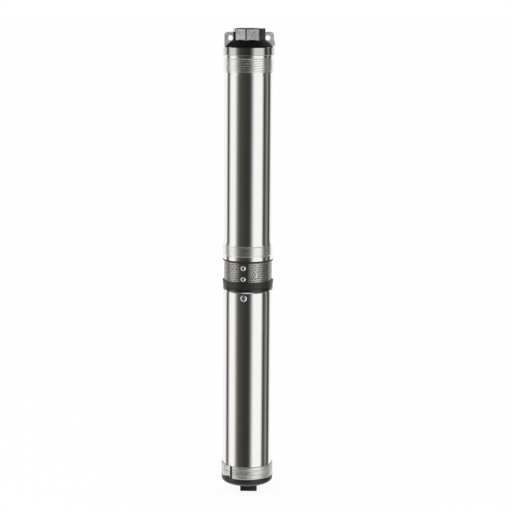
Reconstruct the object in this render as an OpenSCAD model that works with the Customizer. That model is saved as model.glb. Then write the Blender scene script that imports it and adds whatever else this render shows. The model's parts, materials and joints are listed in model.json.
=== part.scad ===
// Borehole submersible pump: multistage pump end above, oil-filled motor below.
// The outlet mouth is the origin, its thread opens towards +Z and the pump hangs below it.

/* [Discharge head] */
// Bore of the outlet thread
outlet_bore = 39; // [34:0.5:42]
// Depth of the outlet thread
outlet_depth = 24; // [18:1:26]
// Octagon for the wrench, across flats
octagon_flats = 57.6; // [55:0.2:59]
// Height of the octagon, with the part inside the dome
octagon_h = 27; // [25:0.5:29]
// Bevel of the octagon's top edge
octagon_bevel = 1.8; // [0.5:0.1:2.5]
// Distance from the outlet mouth down to the flange
head_top_h = 34.8; // [34:0.2:38]
// How far the flange stands out from the pump tube
flange_stand = 2.3; // [1.8:0.1:3.8]
// Height of the flange
flange_h = 14.7; // [12:0.1:18]
// Length of the threaded skirt inside the pump tube
skirt_h = 30.5; // [29.5:0.5:31]
// Distance between the two rope eyes
eye_spacing = 71; // [69:0.2:72]
// Diameter of a rope eye
eye_bore = 9.4; // [8:0.2:10.4]
// Depth of the rope eyes below the outlet mouth
eye_depth = 18; // [16:0.5:19]
// Thickness of a lug
lug_t = 5; // [4:0.2:8]
// Distance from an eye's centre to its lug's edge
lug_r = 11.2; // [10:0.1:13]
// Radius of a lug's outer corner
lug_corner = 7; // [4:0.5:9]
// Diameter of the black dome at its base
dome_base_d = 90; // [86:0.5:93]
// Radius of the dome's sphere
dome_r = 57.7; // [56:0.1:62]

/* [Check valve] */
// Bore of the valve seat
seat_bore = 32; // [26:0.5:36]
// Diameter of the poppet disc
poppet_d = 40; // [38:0.5:44]
// Lift of the poppet
valve_lift = 8; // [5:0.5:8]
// Diameter of the poppet stem
stem_d = 6; // [5:0.2:7]

/* [Pump tube] */
// Outer diameter of the pump tube
pump_tube_d = 91.4; // [91:0.1:92.2]
// How far the rolled ridges stand out from the pump tube
ridge_h = 1.8; // [1.6:0.05:2]
// Pitch of the rolled ridges at the top
top_ridge_pitch = 4.4; // [4:0.05:4.4]
// Number of ridges at the top
top_ridges = 6; // [3:1:6]
// Pitch of the rolled ridges at the bottom
low_ridge_pitch = 4.1; // [3:0.05:4.4]
// Number of ridges at the bottom
low_ridges = 5; // [3:1:5]

/* [Stages] */
// Number of impellers
stages = 8; // [3:1:8]
// Height of one stage
stage_pitch = 38; // [37:0.5:44]
// Diameter of an impeller
impeller_d = 74; // [68:0.5:75]
// Vanes of an impeller
impeller_vanes = 6; // [5:1:7]
// Vanes of a diffuser
diffuser_vanes = 7; // [5:1:9]
// Hexagonal pump shaft, across flats
shaft_flats = 14; // [13.8:0.1:14.6]

/* [Intake] */
// Height of the strainer between its collars
window_h = 36.3; // [35:0.1:40]
// How far the lower collar of the intake stands out from the pump tube
collar_stand = 2.1; // [1.9:0.05:2.6]
// Diameter of one strainer hole
strainer_hole_d = 3.2; // [2.4:0.1:3.4]
// Holes around the strainer in one row
strainer_columns = 52; // [40:1:54]
// Rows of strainer holes
strainer_rows = 7; // [4:1:7]
// Turn of the strainer seam and its screws about the axis
body_turn = -23; // [-60:1:60]

/* [Motor] */
// Outer diameter of the motor tube
motor_tube_d = 93; // [92.6:0.1:93.2]
// Length of the stator core
stator_len = 160; // [100:5:220]
// Height of one end winding
end_winding_h = 25; // [20:0.5:32]
// Slots of the stator
stator_slots = 24; // [18:1:26]
// Diameter of the rotor
rotor_d = 44; // [42:0.2:44.4]
// Wall of the bottom ring around the motor tube
bottom_ring_t = 2.55; // [2.2:0.05:3.2]
// Height of the bottom ring
bottom_ring_h = 24.3; // [22:0.1:28]
// Step from the bottom ring in to the black cap
cap_step = 0.6; // [0.4:0.1:1.2]
// Square drain plug, across flats
drain_flats = 30; // [26:0.2:31]
// Height of the drain plug's head
drain_head_h = 13.4; // [10:0.2:18]
// Distance of the drain plug from the axis
drain_offset = 2.2; // [0:0.1:3]
// Turn of the drain plug's square about its own axis
drain_turn = -12; // [-45:1:45]
// Turn of the fill plug from the strainer seam
fill_turn = 1.6; // [0:0.1:8]

/* [Hidden] */
$fn = 96;
// clearances: seated faces, running faces, bearing journals
fit_gap = 0.15;
run_gap = 0.4;
journal_gap = 0.05;
cut = 1;

// diameters that stand on the two tubes
flange_d = pump_tube_d + 2 * flange_stand;
ridge_d = pump_tube_d + 2 * ridge_h;
collar_d = pump_tube_d + 2 * collar_stand;
bottom_ring_d = motor_tube_d + 2 * (fit_gap + bottom_ring_t);
cap_d = bottom_ring_d - 2 * cap_step;

// walls of both tubes and the room that the rolled ends give inside
tube_wall = 1.4;
pump_tube_r = pump_tube_d / 2;
pump_bore_r = pump_tube_r - tube_wall;
rolled_bore_r = ridge_d / 2 - tube_wall - 0.5;
rolled_r = ridge_d / 2 - 0.7;
ridge_round = 3.2;
top_lip_h = 4.6;
low_lip_h = 8.1;
neck_h = 6;
motor_bore_r = motor_tube_d / 2 - tube_wall;
skirt_r = rolled_bore_r - fit_gap;
spigot_r = motor_bore_r - fit_gap;

// heights below the outlet mouth, from the top down
spider_h = 25.5;
lantern_spigot_h = 22.1;
upper_collar_h = 3.3;
lower_collar_h = 11.6;
shield_rim_h = 6.2;
shield_spigot_h = 45;
winding_gap = 9;
lower_shield_h = 36;
chamber_h = 27.7;
cap_rim_h = 5.3;
cap_dome_h = 12;
z_flange = -head_top_h;
z_tube = z_flange - flange_h;
z_skirt = z_tube - skirt_h;
z_stack_top = z_skirt - spider_h;
z_stack = z_stack_top - stages * stage_pitch;
z_tube_end = z_stack - lantern_spigot_h;
z_window = z_tube_end - upper_collar_h;
z_collar = z_window - window_h;
z_shield = z_collar - lower_collar_h;
z_motor = z_shield - shield_rim_h;
z_spigot = z_motor - shield_spigot_h;
z_core = z_spigot - winding_gap - end_winding_h;
z_core_end = z_core - stator_len;
z_lower_shield = z_core_end - end_winding_h - winding_gap;
z_ring = z_lower_shield - lower_shield_h - chamber_h;
z_motor_end = z_ring - bottom_ring_h;
z_cap_rim = z_motor_end - cap_rim_h;
z_cap_end = z_cap_rim - cap_dome_h;

// discharge head and check valve
octagon_r = octagon_flats / 2 / cos(22.5);
corner_r = octagon_r - 0.5;
neck_r = 24;
throat_r = 17;
chamber_r = 26;
z_chamber = z_flange - 5.2;
z_seat = z_chamber - 26;
seat_t = 4;
guide_t = 4;
poppet_t = 3;
z_poppet = z_seat + seat_t + 0.05;
hub_drop = 2;
spring_r = 9;
spring_wire_r = 0.55;
spring_turns = 4.5;
lug_x = eye_spacing / 2;
lug_root = octagon_flats / 2 - 2;
lug_w = lug_x + lug_r - lug_root;
lug_top = lug_r - eye_depth;
lug_foot = z_flange + 1.8;
head_ring_x = skirt_r - 2.4;
o_ring_r = 1.1;

// stages, counted from the bottom
diffuser_r = pump_bore_r - 0.3;
diffuser_wall = 1.8;
eye_r = 17.2;
skirt_wall = 2.3;
hub_r = 10.5;
hub_lift = 3;
cover_t = 2.2;
shroud_t = 2;
plate_z = 17.5;
plate_t = 2;
journal_r = 6.8;
nut_h = 6;

// intake lantern, strainer and flange fasteners
lantern_bore_r = 34;
upper_rim_r = rolled_r + 0.5;
lower_rim_r = collar_d / 2 - 0.5;
rim_step = 0.6;
rim_step_h = 1.4;
cup_depth = 5;
cup_wall = 1.5;
cup_gap = 1.45;
strainer_r = collar_d / 2 - cup_wall - cup_gap;
sheet_t = 0.8;
columns = 5;
column_w = 11;
column_pitch = 360 / columns;
column_r = strainer_r - 9.85;
lantern_hub_r = 25;
pilot_r = collar_d / 2 - 5.3;
pilot_h = 2.9;
stud_circle_r = column_r;
stud_r = 3.9;
stud_depth = 12;
stud_nut_flats = 13;
stud_nut_h = 6.5;
stud_end_h = 2;
stud_turns = [36, 108, -36, -108];
gland_r = 5.9;
gland_circle_r = spigot_r - gland_r - 1.15;
gland_notch_w = 17;
gland_notch_r = gland_circle_r - gland_notch_w / 2 - 0.5;
z_screws = [z_window - 9, z_window - 29.9];
screw_r = 2;
screw_head_r = 5;
screw_head_h = 2.6;
screw_end_r = column_r + 1;
z_fill = z_motor - 11.6;
fill_r = 3.9;
fill_head_r = 6.2;
fill_head_h = 2.8;
fill_end_r = spigot_r - 9.95;

// motor internals
spigot_wall = 7;
hub_wall = 6;
shield_roof = 20;
coupling_r = 15;
coupling_h = 42;
z_coupling = z_tube_end + 3;
z_coupling_mid = z_coupling - coupling_h / 2;
shaft_r = 8.5;
rotor_seat_r = 11;
bearing_w = 12;
bearing_r = 20;
web_circle_r = (bearing_r + spigot_r) / 2;
clamp_h = 16;
clamp_t = 3;
clamp_w = 9;
diaphragm_h = 12;
diaphragm_t = 2;
ball_r = 3.375;
ball_circle_r = 14.25;
balls = 8;
groove_r = ball_r + 0.2;
z_upper_bearing = z_spigot + 2 + bearing_w;
z_lower_bearing = z_lower_shield - 4;
z_seal = z_motor - 3;
winding_r = 38;
slot_in_r = 25;
slot_out_r = 36;
air_r = rotor_d / 2 + run_gap;
spline_teeth = 14;

// A round bar from z_low up to z_high.
module bar(r, z_low, z_high) {
  translate([0, 0, z_low])
    cylinder(h = z_high - z_low, r = r);
}

// A round sleeve from z_low up to z_high.
module sleeve(r_out, r_in, z_low, z_high) {
  difference() {
    bar(r_out, z_low, z_high);
    bar(r_in, z_low - cut, z_high + cut);
  }
}

// A cone between two radii.
module taper(r_low, r_high, z_low, z_high) {
  translate([0, 0, z_low])
    cylinder(h = z_high - z_low, r1 = r_low, r2 = r_high);
}

// A hexagonal bar, given across its flats.
module hex_bar(flats, z_low, z_high) {
  translate([0, 0, z_low])
    cylinder(h = z_high - z_low, r = flats / 2 / cos(30), $fn = 6);
}

// A round bar pointing out of the pump at the seam, from radius r_from to r_to.
module seam_bar(r, r_from, r_to, z) {
  rotate([0, 0, body_turn])
    translate([0, -r_from, z])
      rotate([90, 0, 0])
        cylinder(h = r_to - r_from, r = r);
}

// The octagon of the outlet with its turned corners, grown by a clearance.
module octagon(gap, z_low, z_high) {
  intersection() {
    translate([0, 0, z_low])
      rotate([0, 0, 22.5])
        cylinder(h = z_high - z_low, r = octagon_r + gap / cos(22.5), $fn = 8);
    bar(corner_r + gap, z_low - cut, z_high + cut);
  }
}

// Both lugs standing on the octagon's sides, grown by a clearance. The right one has a small foot.
module lug_outline(gap) {
  for (side = [-1, 1])
    scale([side, 1]) {
      translate([lug_root + lug_w - lug_corner, lug_top - lug_corner])
        circle(r = lug_corner + gap);
      translate([lug_root, lug_foot - gap])
        square([lug_w - 0.05 + gap, lug_top - lug_corner - lug_foot + gap]);
      translate([lug_root, lug_foot])
        square([lug_w - lug_corner, lug_top - lug_foot - 0.05 + gap]);
    }
  translate([lug_root + lug_w - 1, lug_foot])
    polygon([[0, -gap], [2.2 + gap, -gap], [3.4 + gap, 1.4], [3.2 + gap, 4], [1 + gap, 12], [0, 12]]);
}

module lugs(gap) {
  rotate([90, 0, 0])
    linear_extrude(height = lug_t + 2 * gap, center = true)
      difference() {
        lug_outline(gap);
        square([octagon_flats - 2, 200], center = true);
        if (gap == 0)
          for (side = [-1, 1])
            translate([side * lug_x, -eye_depth])
              circle(r = eye_bore / 2);
      }
}

// Casting: octagonal outlet, two lugs, polished flange and the skirt inside the tube.
module discharge_head() {
  color("silver")
    difference() {
      union() {
        difference() {
          octagon(0, -octagon_h, 0);
          for (i = [0:7])
            rotate([0, 0, 45 * i])
              translate([octagon_flats / 2 - octagon_bevel, -octagon_flats / 2, 0])
                rotate([0, 45, 0])
                  cube([octagon_flats / 4, octagon_flats, octagon_flats / 4]);
        }
        bar(neck_r, z_flange - cut, -octagon_h + cut);
        lugs(0);
        bar(flange_d / 2, z_tube + 0.6, z_flange - 0.6);
        taper(flange_d / 2 - 0.6, flange_d / 2, z_tube, z_tube + 0.6);
        taper(flange_d / 2, flange_d / 2 - 0.6, z_flange - 0.6, z_flange);
        bar(skirt_r, z_skirt, z_tube + cut);
      }
      bar(outlet_bore / 2, -outlet_depth, cut);
      bar(throat_r, z_flange, cut);
      taper(22, throat_r, z_chamber, z_flange + 2);
      bar(chamber_r, z_seat, z_chamber);
      taper(skirt_r - 4.5, chamber_r, z_skirt - 0.01, z_seat);
      translate([0, 0, z_tube - 4])
        rotate_extrude()
          translate([head_ring_x, -1.6])
            square([4, 3.2]);
    }
}

// Black moulding around the octagon's foot and the lugs.
module dome_collar() {
  color("#18181a")
    difference() {
      translate([0, 0, z_flange - sqrt(dome_r * dome_r - dome_base_d * dome_base_d / 4)])
        sphere(r = dome_r);
      translate([0, 0, z_flange - 300])
        cylinder(h = 300, r = 100);
      octagon(fit_gap, -octagon_h - fit_gap, 100);
      bar(neck_r + fit_gap, z_flange - cut, 0);
      lugs(fit_gap);
    }
}

// O-ring that seals the skirt in the tube.
module head_o_ring() {
  color("#101010")
    translate([0, 0, z_tube - 4])
      rotate_extrude()
        translate([rolled_bore_r - 0.1 - o_ring_r, 0])
          circle(r = o_ring_r);
}

// Three-armed guide of the poppet stem, pressed under the throat.
module valve_guide() {
  color("goldenrod")
    difference() {
      union() {
        sleeve(chamber_r - fit_gap, chamber_r - 3.5, z_chamber - guide_t, z_chamber);
        bar(stem_d / 2 + 3, z_chamber - guide_t - hub_drop, z_chamber + hub_drop);
        for (i = [0:2])
          rotate([0, 0, 120 * i + 30])
            translate([stem_d / 2 + 1, -1.5, z_chamber - guide_t])
              cube([chamber_r - 2 - stem_d / 2 - 1, 3, guide_t]);
      }
      bar(stem_d / 2 + 0.3, z_chamber - 20, z_chamber + 20);
    }
}

// Rings of the spring's wire along its helix.
spring_low = z_poppet + poppet_t + spring_wire_r + 0.1;
spring_high = z_chamber - guide_t - spring_wire_r - 0.1;
spring_steps = 72;
spring_sides = 8;
spring_points = [for (i = [0:spring_steps], j = [0:spring_sides - 1])
  let (t = i / spring_steps, a = 360 * spring_turns * t, b = 360 * j / spring_sides,
       r = spring_r + spring_wire_r * cos(b))
  [r * cos(a), r * sin(a), spring_low + (spring_high - spring_low) * t + spring_wire_r * sin(b)]];
spring_sides_faces = [for (i = [0:spring_steps - 1], j = [0:spring_sides - 1])
  let (k = (j + 1) % spring_sides, p = i * spring_sides, q = p + spring_sides)
  [p + j, q + j, q + k, p + k]];
spring_ends = [[for (j = [0:spring_sides - 1]) j],
  [for (j = [spring_sides - 1:-1:0]) spring_steps * spring_sides + j]];

// Return spring between the guide's arms and the poppet.
module valve_spring() {
  color("lightgray")
    polyhedron(points = spring_points, faces = concat(spring_sides_faces, spring_ends));
}

// Seat ring pressed in below the valve chamber.
module valve_seat() {
  color("goldenrod")
    sleeve(chamber_r - fit_gap, seat_bore / 2, z_seat, z_seat + seat_t);
}

// Poppet: sealing disc with a boss and its guided stem.
module valve_poppet() {
  color("dimgray") {
    bar(poppet_d / 2, z_poppet, z_poppet + poppet_t);
    taper(stem_d / 2 + 3, stem_d / 2, z_poppet + poppet_t - 0.01, z_poppet + poppet_t + 3);
    bar(stem_d / 2, z_poppet + cut, z_chamber + hub_drop + 2);
  }
}

// Outline of a row of rolled ridges from z_first downwards: a shallow arc for each ridge.
function ridge_row(r, z_first, count, pitch) =
  [for (i = [0:count - 1], t = [0:6])
    let (dz = (t / 6 - 0.5) * (pitch - 0.3))
    [r - ridge_round + sqrt(ridge_round * ridge_round - dz * dz), z_first - (i + 0.5) * pitch - dz]];

z_top_neck = z_tube - top_lip_h - top_ridges * top_ridge_pitch;
z_low_neck = z_tube_end + low_lip_h + low_ridges * low_ridge_pitch;

// Tube of the pump end, widened and ridge-rolled at both ends.
module pump_tube() {
  color("#c8ccd0")
    rotate_extrude()
      polygon(concat(
        [[rolled_bore_r, z_tube], [rolled_r, z_tube], [rolled_r, z_tube - top_lip_h]],
        ridge_row(ridge_d / 2, z_tube - top_lip_h, top_ridges, top_ridge_pitch),
        [[rolled_r, z_top_neck], [pump_tube_r, z_top_neck - neck_h - 1],
         [pump_tube_r, z_low_neck + neck_h + 1], [rolled_r, z_low_neck]],
        ridge_row(ridge_d / 2, z_low_neck, low_ridges, low_ridge_pitch),
        [[rolled_r, z_low_neck - low_ridges * low_ridge_pitch], [rolled_r, z_tube_end],
         [rolled_bore_r, z_tube_end], [rolled_bore_r, z_stack + 0.5],
         [pump_bore_r, z_stack + 0.5 + neck_h], [pump_bore_r, z_skirt - 0.5 - neck_h],
         [rolled_bore_r, z_skirt - 0.5]]));
}

// Spider that carries the top bearing above the stages.
module top_bearing_spider() {
  color("#2b2b2e")
    difference() {
      union() {
        sleeve(diffuser_r, diffuser_r - 4, z_stack_top, z_skirt);
        bar(14, z_skirt - 16, z_skirt - 2);
        for (i = [0:3])
          rotate([0, 0, 90 * i + 45])
            translate([12, -2.5, z_skirt - 14])
              cube([diffuser_r - 14, 5, 12]);
      }
      bar(10, z_skirt - 30, z_skirt + 10);
    }
}

// Rubber-lined bush of the top bearing.
module top_bearing_bush() {
  color("#3a3028")
    sleeve(10 - journal_gap, journal_r + journal_gap, z_skirt - 16, z_skirt - 2);
}

// Hexagonal shaft with a shoulder under the first impeller and a turned journal on top.
module pump_shaft() {
  color("#b8bcc0") {
    hex_bar(shaft_flats, z_coupling_mid + 0.5, z_stack_top + hub_lift - 1);
    bar(hub_r, z_coupling + 0.2, z_stack + hub_lift);
    bar(journal_r, z_stack_top, z_skirt - 1.5);
  }
}

// Nut that clamps the impellers on the shaft.
module impeller_nut() {
  color("#b0b4b8")
    difference() {
      hex_bar(22, z_stack_top + hub_lift, z_stack_top + hub_lift + nut_h);
      bar(journal_r + fit_gap, z_stack_top, z_stack_top + 20);
    }
}

// Curved vanes as outline: arcs of one circle between two radii.
module vane_ring(count, r_in, r_out, shift, t) {
  for (i = [0:count - 1])
    rotate([0, 0, 360 * i / count])
      intersection() {
        translate([shift, 0])
          difference() {
            circle(r = shift + 2 + t / 2);
            circle(r = shift + 2 - t / 2);
          }
        difference() {
          circle(r = r_out);
          circle(r = r_in);
        }
        translate([0, 3])
          square([60, 60]);
      }
}

// Closed impeller with its eye skirt below and a long hub that reaches the next one.
module impeller(z) {
  color("#d8d2c0")
    translate([0, 0, z])
      difference() {
        union() {
          bar(hub_r, hub_lift, hub_lift + stage_pitch);
          sleeve(eye_r + skirt_wall, eye_r, 0.5, 5);
          sleeve(impeller_d / 2, eye_r, cover_t + 1.2, cover_t + 1.2 + shroud_t);
          bar(impeller_d / 2, plate_z - 1.5 - shroud_t, plate_z - 1.5);
          translate([0, 0, cover_t + 1])
            linear_extrude(height = plate_z - 1.7 - shroud_t + 1 - cover_t)
              vane_ring(impeller_vanes, eye_r + 0.4, impeller_d / 2 - 0.2, 20, 1.8);
        }
        hex_bar(shaft_flats + 2 * fit_gap, 0, stage_pitch + 10);
      }
}

// Stage bowl: wall, cover with the wear ring, dividing plate and return vanes.
module diffuser(z) {
  color("#e8e4d8")
    translate([0, 0, z])
      union() {
        sleeve(diffuser_r, diffuser_r - diffuser_wall, 0, stage_pitch);
        sleeve(diffuser_r - 1, eye_r + skirt_wall + run_gap, 0, cover_t);
        sleeve(impeller_d / 2 + 1.5, hub_r + run_gap + 0.1, plate_z, plate_z + plate_t);
        translate([0, 0, plate_z + 1])
          linear_extrude(height = stage_pitch - plate_z - 1)
            vane_ring(diffuser_vanes, 15, diffuser_r - 1, 24, 2);
      }
}

// Spline of the motor shaft, as outline, grown by a clearance.
module spline(gap) {
  circle(r = 7.2 + gap);
  for (i = [0:spline_teeth - 1])
    rotate([0, 0, 360 * i / spline_teeth])
      translate([6, -0.8 - gap])
        square([2 + gap, 1.6 + 2 * gap]);
}

// Coupling sleeve: splined below for the motor shaft, hexagonal above for the pump shaft.
module shaft_coupling() {
  color("#a8acb0")
    difference() {
      bar(coupling_r, z_coupling - coupling_h, z_coupling);
      hex_bar(shaft_flats + 2 * fit_gap, z_coupling_mid + 0.5, z_coupling + cut);
      translate([0, 0, z_coupling - coupling_h - cut])
        linear_extrude(height = coupling_h / 2 + cut - 0.5)
          spline(fit_gap);
    }
}

// Intake lantern: threaded spigot, two collars and five columns between them.
module intake_lantern() {
  color("#1c1c1e")
    difference() {
      union() {
        rotate_extrude()
          polygon([[lantern_bore_r, z_stack], [skirt_r, z_stack], [skirt_r, z_tube_end],
            [rolled_r, z_tube_end], [upper_rim_r, z_tube_end + 0.5],
            [upper_rim_r, z_tube_end - 1.8], [strainer_r + 0.4, z_window], [lantern_bore_r, z_window]]);
        rotate_extrude()
          polygon([[lantern_hub_r, z_collar - cup_depth], [collar_d / 2 - cup_wall, z_collar - cup_depth],
            [collar_d / 2 - cup_wall, z_collar], [collar_d / 2, z_collar],
            [lower_rim_r - rim_step, z_shield], [lantern_hub_r, z_shield]]);
        for (i = [0:columns - 1])
          rotate([0, 0, body_turn + i * column_pitch])
            intersection() {
              sleeve(strainer_r - sheet_t - fit_gap, column_r, z_collar - cup_depth - 1, z_window + 1);
              translate([-column_w / 2, -50, z_collar - cup_depth - 1])
                cube([column_w, 50, window_h + cup_depth + 2]);
            }
      }
      bar(pilot_r + fit_gap, z_shield - cut, z_shield + pilot_h + 0.1);
      for (a = stud_turns)
        rotate([0, 0, body_turn + a])
          translate([0, -stud_circle_r, z_shield - 10])
            cylinder(h = 50, r = stud_r + 0.4);
      rotate([0, 0, body_turn + 180])
        translate([-gland_notch_w / 2, -collar_d, z_shield - cut])
          cube([gland_notch_w, collar_d - gland_notch_r, lower_collar_h + 2]);
      for (z = z_screws)
        seam_bar(screw_r + fit_gap, screw_end_r - 0.2, collar_d / 2, z);
    }
}

// Perforated sheet around the lantern, with a plain seam for the screws and a cable notch at the back.
module intake_strainer() {
  row_margin = 4;
  row_pitch = (window_h - 2 * row_margin) / (strainer_rows - 1);
  color("#b4b8bc")
    difference() {
      sleeve(strainer_r, strainer_r - sheet_t, z_collar - cup_depth + 0.2, z_window - fit_gap);
      for (row = [0:strainer_rows - 1], col = [0:strainer_columns - 1])
        rotate([0, 0, 12 + (col + (row % 2) / 2) * 336 / (strainer_columns - 0.5)])
          seam_bar(strainer_hole_d / 2, strainer_r - 2, strainer_r + 1,
            z_window - row_margin - row * row_pitch);
      for (z = z_screws)
        seam_bar(screw_r + 0.3, strainer_r - 2, strainer_r + 1, z);
      rotate([0, 0, body_turn + 180])
        translate([-gland_notch_w / 2 - 1, -collar_d, z_collar - 20])
          cube([gland_notch_w + 2, collar_d - gland_notch_r, 44]);
    }
}

// Two button-head screws with hexagonal sockets on the strainer's seam.
module strainer_screws() {
  color("#d0d2d4")
    for (z = z_screws)
      difference() {
        union() {
          seam_bar(screw_r, screw_end_r, strainer_r + 1, z);
          button_head(screw_head_r, screw_head_h, strainer_r + 0.1, z);
        }
        rotate([0, 0, body_turn])
          translate([0, -strainer_r - 1, z])
            rotate([90, 0, 0])
              hex_bar(3.6, 0, 10);
      }
}

// Domed screw head of radius r and height h at the seam, seated at radius r_from.
module button_head(r, h, r_from, z) {
  rotate([0, 0, body_turn])
    translate([0, -r_from, z])
      rotate([90, 0, 0])
        rotate_extrude()
          polygon([[0, 0], [r, 0], [r, 0.2 * h], [0.94 * r, 0.5 * h], [0.8 * r, 0.78 * h],
            [0.58 * r, h], [0, h]]);
}

// Cross recess of a screw at the seam.
module cross_recess(r_from, span, w, z) {
  rotate([0, 0, body_turn])
    translate([0, -r_from, z])
      rotate([90, 0, 0])
        linear_extrude(height = 10) {
          square([span, w], center = true);
          square([w, span], center = true);
        }
}

// Four studs in the motor flange and their nuts in the lantern's cup.
module flange_fasteners() {
  z_nut = z_collar - cup_depth;
  color("#c0c4c8")
    for (a = stud_turns)
      rotate([0, 0, body_turn + a])
        translate([0, -stud_circle_r, 0]) {
          bar(stud_r, z_motor - stud_depth, z_nut + stud_nut_h + stud_end_h);
          difference() {
            hex_bar(stud_nut_flats, z_nut, z_nut + stud_nut_h);
            bar(stud_r + fit_gap, z_nut - cut, z_nut + stud_nut_h + cut);
          }
        }
}

// Upper end shield: rim, pilot, spigot in the tube, seal chamber and bearing seat.
module motor_top_shield() {
  color("#1e1e20")
    difference() {
      union() {
        bar(pilot_r, z_shield - cut, z_shield + pilot_h);
        taper(motor_tube_d / 2 + 0.1, lower_rim_r, z_motor, z_shield - rim_step_h);
        taper(lower_rim_r, lower_rim_r - rim_step, z_shield - rim_step_h, z_shield);
        bar(spigot_r, z_spigot, z_motor + cut);
      }
      sleeve(spigot_r - spigot_wall, bearing_r + hub_wall, z_spigot - cut, z_motor - shield_roof);
      bar(shaft_r + 1.5, z_seal - 10, z_shield + 20);
      bar(14 + journal_gap, z_seal - 10, z_seal + 3);
      bar(17, z_upper_bearing - cut, z_seal - 3);
      bar(bearing_r + journal_gap, z_spigot - cut, z_upper_bearing);
      for (a = stud_turns)
        rotate([0, 0, body_turn + a])
          translate([0, -stud_circle_r, z_motor - stud_depth - 0.1])
            cylinder(h = 50, r = stud_r + fit_gap);
      rotate([0, 0, body_turn + 180])
        translate([0, -gland_circle_r, z_motor - shield_roof - 1])
          cylinder(h = 80, r = gland_r + fit_gap);
      rotate([0, 0, fill_turn]) {
        seam_bar(fill_r + fit_gap, fill_end_r - 1, motor_tube_d, z_fill);
        seam_bar(2, 15, fill_end_r, z_fill);
      }
      translate([0, 0, z_motor - 24])
        rotate_extrude()
          translate([spigot_r - 2.4, -1.6])
            square([4, 3.2]);
    }
}

// O-ring that seals the shield in the motor tube.
module shield_o_ring() {
  color("#101010")
    translate([0, 0, z_motor - 24])
      rotate_extrude()
        translate([motor_bore_r - 0.1 - o_ring_r, 0])
          circle(r = o_ring_r);
}

// Gland at the back through which the motor's cable enters.
module cable_gland() {
  z_top = z_shield + pilot_h;
  color("#202022")
    rotate([0, 0, body_turn + 180])
      translate([0, -gland_circle_r, 0])
        difference() {
          union() {
            bar(gland_r, z_motor - 14, z_top + 2);
            hex_bar(13.4, z_top + 0.1, z_top + 13);
            taper(6.6, 5.6, z_top + 12, z_top + 20);
          }
          bar(3.5, z_motor - 20, z_top + 30);
        }
}

// Domed fill plug with a cross recess, screwed through the tube into the shield.
module fill_plug() {
  color("#c8cacc")
    rotate([0, 0, fill_turn])
      difference() {
        union() {
          seam_bar(fill_r, fill_end_r, motor_tube_d / 2 + 1, z_fill);
          button_head(fill_head_r, fill_head_h, motor_tube_d / 2 + 0.2, z_fill);
        }
        cross_recess(motor_tube_d / 2 + 1.3, 1.6 * fill_head_r, 1.6, z_fill);
      }
}

// Polished tube of the motor.
module motor_tube() {
  color("#ccd0d4")
    difference() {
      rotate_extrude()
        polygon([[motor_bore_r, z_motor], [motor_tube_d / 2 - 1.2, z_motor],
          [motor_tube_d / 2, z_motor - 2.8], [motor_tube_d / 2, z_motor_end], [motor_bore_r, z_motor_end]]);
      rotate([0, 0, fill_turn])
        seam_bar(fill_r + 0.4, motor_bore_r - 5, motor_tube_d, z_fill);
    }
}

// One stator slot as outline, shrunk by a clearance.
module slot(gap) {
  w = PI * slot_in_r / stator_slots * 0.45;
  polygon([[slot_in_r + gap, -w + gap], [slot_out_r - gap, -w * slot_out_r / slot_in_r + gap],
    [slot_out_r - gap, w * slot_out_r / slot_in_r - gap], [slot_in_r + gap, w - gap]]);
}

// Laminated stator core with its slots.
module stator_core() {
  color("#70757a")
    translate([0, 0, z_core_end])
      linear_extrude(height = stator_len)
        difference() {
          circle(r = spigot_r);
          circle(r = air_r);
          for (i = [0:stator_slots - 1])
            rotate([0, 0, 360 * i / stator_slots]) {
              slot(0);
              translate([air_r - 1, -0.8])
                square([slot_in_r - air_r + 2, 1.6]);
            }
        }
}

// Copper winding: bars in the slots and the two end windings.
module stator_winding() {
  color("#b87333") {
    translate([0, 0, z_core_end - 1])
      linear_extrude(height = stator_len + 2)
        for (i = [0:stator_slots - 1])
          rotate([0, 0, 360 * i / stator_slots])
            slot(0.25);
    sleeve(winding_r, slot_in_r + 0.2, z_core + 0.3, z_core + end_winding_h);
    sleeve(winding_r, slot_in_r + 0.2, z_core_end - end_winding_h, z_core_end - 0.3);
  }
}

// Motor shaft from the lower bearing up to its splined end.
module motor_shaft() {
  color("#b4b8bc") {
    bar(shaft_r, z_lower_bearing - bearing_w - 2, z_coupling - coupling_h - 0.2);
    bar(rotor_seat_r, z_lower_bearing + 1, z_upper_bearing - bearing_w - 1);
    bar(shaft_r + 1.8, z_upper_bearing, z_upper_bearing + 1.8);
    translate([0, 0, z_coupling - coupling_h - 1])
      linear_extrude(height = coupling_h / 2)
        spline(0);
  }
}

// Squirrel-cage rotor with its end rings.
module rotor_core() {
  color("#888d92")
    difference() {
      union() {
        bar(rotor_d / 2, z_core_end, z_core);
        bar(20.5, z_core_end - 12, z_core + 12);
      }
      bar(rotor_seat_r + journal_gap, z_core_end - 20, z_core + 20);
      sleeve(15, 5, z_core + 1, z_core + 20);
      sleeve(15, 5, z_core_end - 20, z_core_end - 1);
    }
}

// Rubber disc that throws sand away from the seal.
module sand_slinger() {
  color("#161616")
    difference() {
      taper(18, 13, z_shield + pilot_h + 1.2, z_coupling - coupling_h - 1);
      bar(shaft_r + journal_gap, z_shield - 10, z_coupling);
    }
}

// Ceramic seat of the shaft seal, pressed into the shield.
module seal_seat() {
  color("#e0e0dc")
    sleeve(14, shaft_r + 0.8, z_seal - 3, z_seal + 2.9);
}

// Turning half of the shaft seal: carbon ring, bellows and spring cup.
module seal_head() {
  color("#303034")
    difference() {
      union() {
        bar(12.5, z_seal - 9, z_seal - 3.1);
        bar(14, z_upper_bearing + 2, z_seal - 8);
      }
      bar(shaft_r + journal_gap, z_upper_bearing, z_motor);
    }
}

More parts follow.
